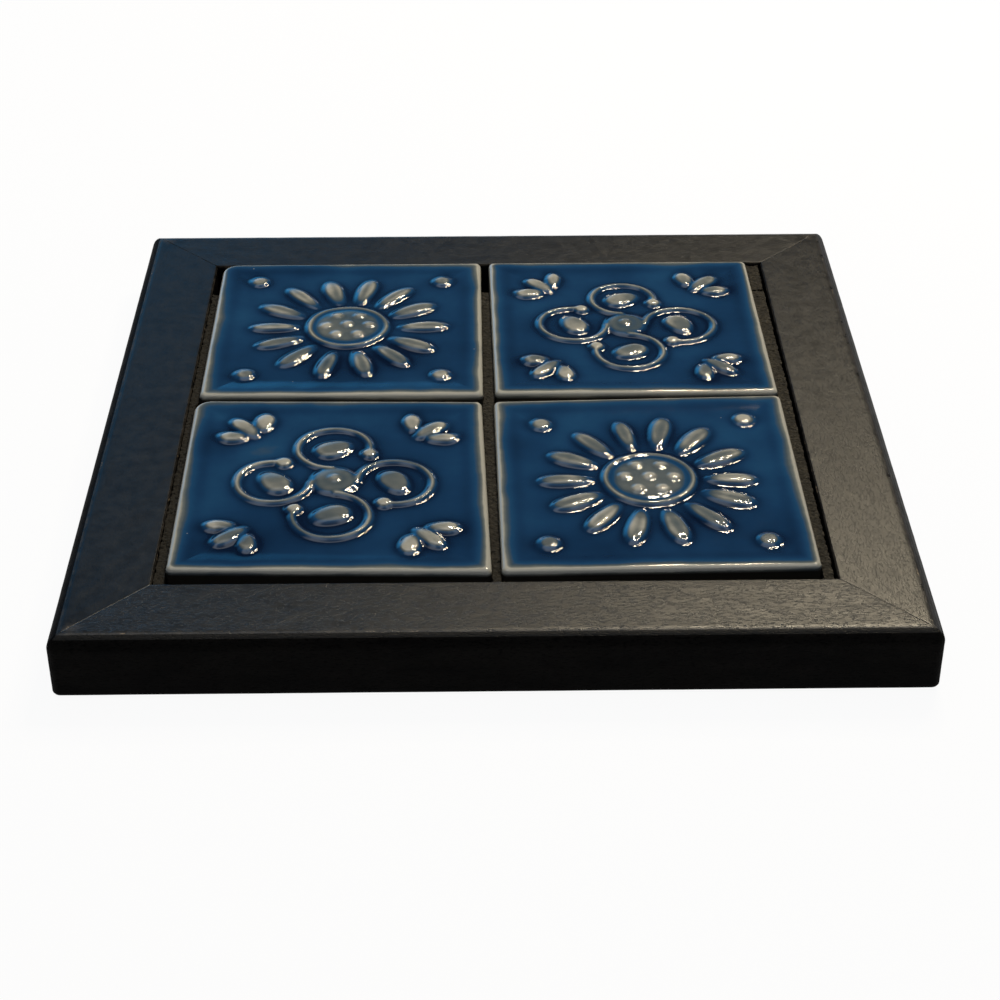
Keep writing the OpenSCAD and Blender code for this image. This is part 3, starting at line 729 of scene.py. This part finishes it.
def tile_surface(node, relief, radii, seed):
    """Points of a tile's glazed top as a square grid, the glaze's depth at each, near 0 where it
    is thinnest and 1 where it has pooled, and the tile's centre. The top is a quarter circle at
    the edge, a flat crest, half a cosine down to the field, and on it the relief, warped by noise
    and softened as glaze softens it, less two waves. The glaze is thin on the rim, less so by a
    falling exponential inwards and on the outermost part of the edge's round, which is painted
    deeper as shade, and on the relief, by its height and more on its crests. It has pooled beside
    the relief and where much relief is near, and at the foot of the slope by a bell curve. It is
    deeper towards the front edge, and it drifts by slow noise."""
    hand = np.random.default_rng(seed)
    corners = tile_plan(node)
    centre = corners.mean(axis=0)
    half = np.abs(corners - centre).mean()
    turn = np.arange(edge_rings) / edge_rings
    insets = np.concatenate([
        edge_r * (1 - np.cos(turn * math.pi / 2)),
        edge_r + (field_inset - edge_r) * np.arange(slope_rings) / slope_rings,
        field_inset + (half - field_inset) * np.arange(field_rings + 1) / field_rings,
    ])
    x, y, inset = square_rings(insets, half, radii)

    within = from_edge(x, y, half, inset, field_round)
    warp_x = warp * soft_noise(x, y, warp_size, seed + 1)
    warp_y = warp * soft_noise(x, y, warp_size, seed + 2)
    raised = relief(x + warp_x, y + warp_y, half - relief_margin, hand)
    raised = spread(raised, soft_passes)
    edge = np.clip(1 - inset / edge_r, 0, 1)
    share = np.clip((within - crest_inset) / slope_w, 0, 1)
    z = tile_t - edge_r * (1 - np.sqrt(1 - edge ** 2))
    z = z - field_sink * (1 - np.cos(math.pi * share)) / 2 + raised
    off_edge = smooth_step(0, wave_from_edge, inset)
    z = z - slow_wave * (1 + soft_noise(x, y, slow_wave_size, seed + 3)) * off_edge
    z = z - quick_wave * (1 + soft_noise(x, y, quick_wave_size, seed + 4)) * off_edge

    change = fade_change * soft_noise(x, y, fade_change_size, seed + 5)
    fade = fade_w + change - fade_front * y / half
    rim = from_edge(x, y, half, inset, rim_round)
    # Painted shade: the thin rim is cut back where the edge's round turns down, so that it darkens
    # there.
    edge_shade = edge_shade_share + (1 - edge_shade_share) * smooth_step(edge_shade_low, edge_shade_high, inset)
    thin_rim = np.exp(-np.clip(rim - thin_rim_w, 0, None) / fade) * edge_shade
    crest = np.clip((raised - spread(raised, crest_passes)) / crest_h, 0, 1)
    thin_relief = smooth_step(relief_low, relief_high, raised)
    thin_relief = thin_relief * (relief_share + crest_share * crest)
    thin = np.maximum(thin_rim, spread(thin_relief, thin_passes))
    pooled = np.clip((spread(raised, pool_passes) - raised) / pool_h, 0, 1)
    foot = foot_share * np.exp(-((within - foot_in) / foot_w) ** 2)
    drift = drift_share * soft_noise(x, y, drift_size, seed + 6)
    crowd = np.clip(spread(raised, crowd_passes) / crowd_h, 0, 1)
    frontward = frontward_share * smooth_step(frontward_low, frontward_high, -y / half)
    pooled = pool_share * np.clip(pooled + foot, 0, 1) + crowd_share * crowd + frontward
    depth = mean_share - thinned_share * thin + (pooled + drift) * (1 - thin)

    u, v = (x / half + 1) / 2, (y / half + 1) / 2
    shares = [(1 - u) * (1 - v), u * (1 - v), u * v, (1 - u) * v]
    plan = sum(share[..., None] * corner for share, corner in zip(shares, corners))
    top = np.concatenate([plan, (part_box(node)[0].z + z)[..., None]], axis=2)
    return top, depth, centre


def closed_tile(top, depth, base, centre):
    """Adds the sides, bevel and back to a tile's top. The sides drop straight from the rim of
    the grid in equal rings, the last ring draws in by the bevel, and the back is a fan to its
    centre. Returns the points, the faces and the glaze's depth at each point."""
    n = len(top)
    number = np.arange(n * n).reshape(n, n)
    rim = np.concatenate([number[0, :-1], number[:-1, -1], number[-1, :0:-1], number[:0:-1, 0]])
    edge = top.reshape(-1, 3)[rim]
    points = [top.reshape(-1, 3)]
    depths = [depth.ravel()]
    rings = [rim]
    count = len(rim)
    for k in range(1, side_rings + 1):
        share = k / side_rings
        ring = edge.copy()
        ring[:, 2] = edge[:, 2] * (1 - share) + (base + tile_bevel) * share
        points.append(ring)
        depths.append(np.full(count, side_share))
        rings.append(n * n + (k - 1) * count + np.arange(count))
    away = edge[:, :2] - centre
    last = edge.copy()
    last[:, :2] = centre + away * (1 - tile_bevel / np.abs(away).max(axis=1))[:, None]
    last[:, 2] = base
    points.append(last)
    depths.append(np.full(count, side_share))
    rings.append(n * n + side_rings * count + np.arange(count))
    points.append(np.array([[centre[0], centre[1], base]]))
    depths.append(np.array([side_share]))
    hub = n * n + (side_rings + 1) * count

    faces = grid_quads(n, n, closed=False).tolist()
    for upper, lower in zip(rings[:-1], rings[1:]):
        faces += np.stack([upper, lower, np.roll(lower, -1), np.roll(upper, -1)], axis=1).tolist()
    fan = np.stack([rings[-1], np.full(count, hub), np.roll(rings[-1], -1)], axis=1)
    return np.concatenate(points), faces + fan.tolist(), np.concatenate(depths)


bare_clay_and_shade = (0.024, 0.019, 0.011)
clay_rough = (0.85, 0.85, 0.85)
glaze_cream = (0.410, 0.400, 0.352)
glaze_grey = (0.150, 0.166, 0.164)
glaze_mist = (0.060, 0.088, 0.112)
glaze_light = (0.0130, 0.0640, 0.1560)
glaze_blue = (0.0085, 0.0425, 0.1160)
glaze_deep = (0.0050, 0.0255, 0.0740)
glaze_navy = (0.0020, 0.0095, 0.0340)
glaze_spark = (0.2000, 0.2400, 0.2900)
bare_level = tile_base + tile_t - edge_r
bare_fade = 0.0005


def glaze_finish():
    """Glossy blue glaze over stoneware. Its colour follows the depth stored in the mesh, moved by
    a cloudy noise and a finer one, with a few pale specks, and bare clay, painted near black as
    the shade in the gaps beside the tiles, shows on the sides below the rounded edge."""
    material, tree, surface, place = new_finish("blue_glaze")
    depth = add_node(tree, "Attribute", attribute_name="depth").outputs["Fac"]
    cloud = add_noise(tree, place, scale=48.0, detail=3.0)
    streak = add_noise(tree, place, scale=420.0, detail=3.0, roughness=0.6)
    moved = add_math(tree, "ADD", depth, add_range(tree, cloud, (0.3, 0.7), (-0.09, 0.09)))
    moved = add_math(tree, "ADD", moved, add_range(tree, streak, (0.3, 0.7), (-0.010, 0.010)))
    colour = add_ramp(tree, moved, [(0.02, glaze_cream), (0.13, glaze_grey), (0.25, glaze_mist),
                                    (0.37, glaze_light), (0.53, glaze_blue), (0.74, glaze_deep),
                                    (1.0, glaze_navy)])

    cells = add_node(tree, "TexVoronoi", {"Vector": place, "Scale": 210.0})
    lone = add_ramp(tree, cells.outputs["Color"], [(0.80, 0.0), (0.83, 1.0)])
    dot = add_ramp(tree, cells.outputs["Distance"], [(0.030, 1.0), (0.055, 0.0)])
    speck = add_math(tree, "MULTIPLY", lone, dot)
    colour = add_mix(tree, speck, colour, glaze_spark)
    level = add_node(tree, "SeparateXYZ", {0: place}).outputs["Z"]
    # Painted shade: below the rounded edge the sides take a near-black clay colour for the shade
    # in the gaps.
    bare = add_range(tree, level, (bare_level - bare_fade, bare_level + bare_fade), (1.0, 0.0))
    colour = add_mix(tree, bare, colour, bare_clay_and_shade)

    gloss = add_range(tree, streak, (0.3, 0.7), (0.04, 0.08))
    gloss = add_mix(tree, bare, gloss, clay_rough)
    ripple = add_bump(tree, cloud, strength=0.5, distance=0.00018)
    ripple = add_bump(tree, streak, strength=0.5, distance=0.00004, below=ripple)
    set_inputs(tree, surface, {"Base Color": colour, "Roughness": gloss, "Normal": ripple})
    return material


glaze = glaze_finish()
cut = [corner_r] * 4
blunt = [corner_r, corner_r, corner_r, blunt_r]
for node, relief, radii, seed in [
        ("front_left_tile", scrolls, blunt, 31), ("front_right_tile", daisy, cut, 47),
        ("back_left_tile", daisy, blunt, 59), ("back_right_tile", scrolls, cut, 73)]:
    top, depth, centre = tile_surface(node, relief, radii, seed)
    points, faces, depths = closed_tile(top, depth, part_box(node)[0].z, centre)
    tile = make_piece("glazed_" + node, points, faces, [glaze], {"depth": depths}, sharp=50)
    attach(tile, "root")
    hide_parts(node)

# Packing strips
# Strips of dark cork board, cut by hand and pushed down on edge beside the tiles to hold them
# from shifting. Their cut tops are crumbly, lie just under the face of the frame, and are worn
# brown, least on the left.

crumb = 0.0011
crumb_lattice = 89
crumb_fall = 0.8
crumb_rise = 0.00060
fine_crumb = 0.0006
fine_rise = 0.00010
fine_skew = 1.7
wall_draw = 0.00010
wall_swell = 0.00030
strip_step = 0.00028
wall_rows = 11
top_rows = 14
end_slack = 0.00001
cork_black = (0.0140, 0.0120, 0.0085)
cork_brown = (0.1050, 0.0900, 0.0650)
cork_pale = (0.2400, 0.2150, 0.1650)


def strip_sides(node):
    """Left and right sides of a strip's plan, each as rows of (y, x) from front to back: its top
    corners, parted by the line between the middles of its two ends."""
    co = np.array([v.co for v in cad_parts[node].data.vertices])
    top = co[co[:, 2] > co[:, 2].max() - end_slack][:, :2]
    front = top[top[:, 1] < top[:, 1].min() + end_slack].mean(axis=0)
    back = top[top[:, 1] > top[:, 1].max() - end_slack].mean(axis=0)
    middle = np.interp(top[:, 1], [front[1], back[1]], [front[0], back[0]])
    sides = []
    for side in (top[top[:, 0] < middle], top[top[:, 0] > middle]):
        side = side[np.argsort(side[:, 1])]
        sides.append((side[:, 1], side[:, 0]))
    return sides


def crumbs(x, y, size, seed):
    """Height from 0 to 1 of crumbs: each cell of a lattice holds one at a random place and of a
    random height, and a point has the height of the nearest, less 0.8 of its distance squared
    in cells."""
    hand = np.random.default_rng(seed)
    place_x, place_y, rise = hand.uniform(0.1, 0.9, (3, crumb_lattice, crumb_lattice))
    i, j = np.floor(x / size).astype(int), np.floor(y / size).astype(int)
    nearest = np.full(x.shape, 9.0)
    height = np.zeros(x.shape)
    for di in (-1, 0, 1):
        for dj in (-1, 0, 1):
            p, q = (i + di) % crumb_lattice, (j + dj) % crumb_lattice
            off_x = x / size - i - di - place_x[p, q]
            off_y = y / size - j - dj - place_y[p, q]
            away = off_x ** 2 + off_y ** 2
            height = np.where(away < nearest, rise[p, q] - crumb_fall * away, height)
            nearest = np.minimum(away, nearest)
    return np.clip(height, 0, 1)


def strip_surface(node, seed):
    """Closed grid of a strip, stations along Y by points round its section: left wall upwards,
    crumbly top, right wall downwards, underside. The crumbs move the walls by 0.2 mm out and
    0.1 mm in at most, and the top by 0.3 mm up and 0.5 mm down."""
    low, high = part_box(node)
    (left_y, left_x), (right_y, right_x) = strip_sides(node)
    count = int((high.y - low.y) / strip_step)
    y = np.linspace(low.y, high.y, count)[:, None]
    left, right = np.interp(y, left_y, left_x), np.interp(y, right_y, right_x)
    wall = np.linspace(0, 1, wall_rows + 1)[:-1]
    over = np.linspace(0, 1, top_rows + 1)[:-1]
    across = np.concatenate([np.zeros(wall_rows), over, np.ones(wall_rows), [1, 0.5]])
    up = np.concatenate([wall, np.ones(top_rows), 1 - wall, [0, 0]])
    x = left + (right - left) * across[None, :]
    z = low.z + (high.z - low.z) * up[None, :] + 0 * y
    y = y + 0 * x
    rough = crumbs(x + z, y, crumb, seed)
    fine = soft_noise(x * fine_skew + z, y * fine_skew, fine_crumb, seed + 1)
    topmost = up[None, :] > 0.999
    inner = (across[None, :] - 0.5) * -2
    x = x + inner * (wall_draw - wall_swell * rough) * (up[None, :] > 0.01)
    ragged = crumb_rise * (0.5 - rough) + fine_rise * (1 + fine)
    z = z - np.where(topmost, ragged, 0)
    return np.stack([x, y, z], axis=2), rough


def cork_finish():
    """Dark cork board: crumbs of black and brown in a tarry binder, with a few pale ones. The
    wear stored in the mesh lets the brown show on the crumbs that stand up."""
    material, tree, surface, place = new_finish("dark_cork")
    cells = add_node(tree, "TexVoronoi", {"Vector": place, "Scale": 1150.0})
    grain = add_noise(tree, place, scale=2600.0, detail=4.0, roughness=0.7)
    colour = add_ramp(tree, cells.outputs["Color"], [(0.25, cork_black), (0.75, cork_brown)])
    pale = add_ramp(tree, grain, [(0.60, 0.0), (0.72, 1.0)])
    colour = add_mix(tree, pale, colour, cork_pale)
    seam = add_ramp(tree, cells.outputs["Distance"], [(0.35, 1.0), (0.75, 0.35)])
    wear = add_node(tree, "Attribute", attribute_name="wear").outputs["Fac"]
    colour = add_mix(tree, wear, cork_black, add_mix(tree, seam, cork_black, colour))
    relief = add_bump(tree, seam, strength=0.8, distance=0.00025)
    relief = add_bump(tree, grain, strength=0.7, distance=0.00012, below=relief)
    set_inputs(tree, surface, {"Base Color": colour, "Roughness": 0.88, "Normal": relief,
                               "Specular IOR Level": 0.25})
    return material


cork = cork_finish()
for node, seed, worn in [("left_strip", 5, 0.04), ("middle_strip", 6, 0.26),
                         ("right_strip", 7, 0.40), ("right_short_strip", 8, 0.30)]:
    surface, rough = strip_surface(node, seed)
    strip = make_piece("cork_" + node, surface, tube_faces(*surface.shape[:2]), [cork],
                       {"wear": worn * (0.45 + 0.75 * rough)}, sharp=60)
    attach(strip, "root")
    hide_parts(node)

# Felt pads
# Discs die-cut from brown wool felt, stuck under the corners so that the frame doesn't mark the
# table. Their edges are soft and a little hairy.

pad_points = 96
face_rings = 16
rim_rings = 9
hub_share, face_share, rim_bulge_share, off_rim_share = 0.02, 0.96, 0.04, 0.97
fray_share, fray_size = 0.012, 0.20
felt_dent, felt_dent_size = 0.00006, 0.0009
felt_light = (0.120, 0.088, 0.058)
felt_dark = (0.038, 0.027, 0.018)


def felt_surface(node, seed):
    """Grid of a felt disc, rings from the middle of the underside out, up and back to the middle
    of the top, by points round it. The rim bulges by half a sine and is frayed by noise."""
    low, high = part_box(node)
    centre = (low + high) / 2
    radius, thick = (high.x - low.x) / 2, high.z - low.z
    turn = np.linspace(0, 2 * math.pi, pad_points + 1)[:-1][None, :]
    outward = np.linspace(hub_share, face_share, face_rings)
    bulged = face_share + rim_bulge_share * np.sin(np.linspace(0, math.pi, rim_rings))
    inward = np.linspace(face_share, hub_share, face_rings)
    share = np.concatenate([outward, bulged, inward])[:, None]
    level = np.concatenate([np.zeros(face_rings), np.linspace(0, 1, rim_rings),
                            np.ones(face_rings)])[:, None]
    fray = 1 - fray_share * (1 + soft_noise(turn * 4, level * 3 + 0 * turn, fray_size, seed))
    x = radius * share * fray * np.cos(turn)
    y = radius * share * fray * np.sin(turn)
    dent = felt_dent * (1 + soft_noise(x, y, felt_dent_size, seed + 1)) * (share < off_rim_share)
    z = low.z + thick * level + dent * np.where(level < 0.5, 1, -1)
    return np.stack([x + centre.x, y + centre.y, z + 0 * x], axis=2)


def felt_finish():
    """Wool felt: short matted fibres that run every way, painted lighter where they stand up, as a
    highlight.
    """
    material, tree, surface, place = new_finish("wool_felt")
    fibre = add_noise(tree, place, scale=2100.0, detail=6.0, roughness=0.75, distortion=2.5)
    # Painted highlight: the fibres that stand up are lighter.
    colour = add_ramp(tree, fibre, [(0.34, felt_dark), (0.66, felt_light)])
    relief = add_bump(tree, fibre, strength=1.0, distance=0.00020)
    set_inputs(tree, surface, {"Base Color": colour, "Roughness": 0.95, "Normal": relief,
                               "Sheen Weight": 0.4, "Sheen Roughness": 0.5})
    return material


felt = felt_finish()
for k, corner in enumerate(corner_names):
    node = corner + "_pad"
    surface = felt_surface(node, 81 + 2 * k)
    pad = make_piece("felt_" + node, surface, tube_faces(*surface.shape[:2]), [felt], sharp=60)
    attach(pad, "root")
    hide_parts(node)

# Floor
# A sweep of plain white paper, laid flat under the object and far beyond it. It is seen at a
# steady white, and keeps part of the object's shadow.

floor_half = 9.0
floor_points = 9
paper_white = (0.86, 0.86, 0.86)
paper_grey = (0.85, 0.85, 0.85)
seen_share = 0.94


def paper_finish():
    """White paper: a soft diffuse surface under an even white that shows to the eye, in
    reflections and through glass."""
    material, tree, surface, place = new_finish("white_paper")
    fibre = add_noise(tree, place, scale=30.0, detail=4.0)
    tone = add_ramp(tree, fibre, [(0.3, paper_grey), (0.7, paper_white)])
    set_inputs(tree, surface, {"Base Color": tone, "Roughness": 1.0, "Specular IOR Level": 0.0})
    path = add_node(tree, "LightPath")
    seen = add_math(tree, "MAXIMUM", path.outputs["Is Camera Ray"], path.outputs["Is Glossy Ray"])
    seen = add_math(tree, "MAXIMUM", seen, path.outputs["Is Transmission Ray"])
    share = add_math(tree, "MULTIPLY", seen, seen_share)
    glow = add_node(tree, "Emission", {"Color": (1, 1, 1, 1), "Strength": 1.0}).outputs[0]
    mixed = add_node(tree, "MixShader", {0: share, 1: surface.outputs[0], 2: glow}).outputs[0]
    tree.links.new(mixed, tree.nodes["Material Output"].inputs["Surface"])
    return material


steps = np.linspace(-floor_half, floor_half, floor_points)
floor_x, floor_y = np.meshgrid(steps, steps, indexing="ij")
floor_grid = np.stack([floor_x, floor_y, 0 * floor_x], axis=2).reshape(-1, 3)
floor_mesh = bpy.data.meshes.new("floor")
floor_mesh.from_pydata(floor_grid.tolist(), [],
                       grid_quads(floor_points, floor_points, closed=False).tolist())
floor_mesh.materials.append(paper_finish())
floor = bpy.data.objects.new("floor", floor_mesh)
bpy.context.scene.collection.objects.link(floor)

# Light
# A ring of warm lamps hangs behind the right of the object. The room is dim, with a wide ring of
# soft light overhead, a blue glow low down behind the left and a white horizon.

ring_centre = np.array([0.254, 0.478, 0.739])
ring_radius = 0.13
lamp_count = 9
lamp_size = 0.018
lamp_power = 2.8
lamp_colour = (1.0, 0.86, 0.62)
lit_place = np.array([0.0, 0.0, rail_top])
horizon_white = (0.95, 0.96, 0.98)
room_dim = (0.022, 0.026, 0.034)
overhead_white = (1.30, 1.36, 1.44)
overhead_dim = (0.25, 0.26, 0.28)
glow_way = (-0.370, 0.925, 0.090)
glow_blue = (0.110, 0.780, 1.620)

back = ring_centre - lit_place
back /= np.linalg.norm(back)
side = np.cross([0, 0, 1], back)
side /= np.linalg.norm(side)
rise = np.cross(back, side)
for k in range(lamp_count):
    turn = 2 * math.pi * k / lamp_count
    lamp = bpy.data.lights.new("lamp_%d" % k, "POINT")
    lamp.energy = lamp_power
    lamp.color = lamp_colour
    lamp.shadow_soft_size = lamp_size
    holder = bpy.data.objects.new("lamp_%d" % k, lamp)
    holder.location = ring_centre + ring_radius * (side * math.cos(turn) + rise * math.sin(turn))
    bpy.context.scene.collection.objects.link(holder)

world = bpy.data.worlds.new("room")
world.use_nodes = True
bpy.context.scene.world = world
tree = world.node_tree
way = add_node(tree, "TexCoord").outputs["Generated"]
# The room's tone goes by the sine of the height above the horizon.
lift = add_node(tree, "SeparateXYZ", {0: way}).outputs["Z"]
tone = add_ramp(tree, lift, [(0.03, horizon_white), (0.10, room_dim), (0.80, room_dim),
                             (0.90, overhead_white), (0.96, overhead_white),
                             (0.99, overhead_dim)])
glow = add_node(tree, "VectorMath", {0: way, 1: glow_way}, operation="DOT_PRODUCT")
glow = add_ramp(tree, glow.outputs["Value"], [(0.90, 0.0), (1.0, 1.0)])
above = add_ramp(tree, lift, [(0.03, 0.0), (0.10, 1.0)])
glow = add_math(tree, "MULTIPLY", glow, above)
tree.links.new(add_mix(tree, glow, tone, glow_blue), tree.nodes["Background"].inputs["Color"])

# Camera
# A hand-held view from the front, about 0.7 m away and looking 33.5 degrees down. Its place and
# its length were fitted to the outline of the frame.

photo_px = 1000
focal_px = 2143.06
sensor_mm = 36.0
camera_place = (-0.005042, -0.573505, 0.363850)
yaw, pitch, roll = math.radians(0.749), math.radians(33.493), math.radians(-0.059)

ahead = np.array([math.sin(yaw) * math.cos(pitch), math.cos(yaw) * math.cos(pitch),
                  -math.sin(pitch)])
level = np.array([math.cos(yaw), -math.sin(yaw), 0])
above = np.cross(level, ahead)
right = math.cos(roll) * level + math.sin(roll) * above
up = math.cos(roll) * above - math.sin(roll) * level
camera = bpy.data.cameras.new("camera")
camera.sensor_width = sensor_mm
camera.lens = sensor_mm * focal_px / photo_px
viewer = bpy.data.objects.new("camera", camera)
turned = Matrix([[right[k], up[k], -ahead[k]] for k in range(3)]).to_4x4()
turned.translation = camera_place
viewer.matrix_world = turned
bpy.context.scene.collection.objects.link(viewer)
bpy.context.scene.camera = viewer

bpy.context.scene.view_settings.view_transform = "Standard"
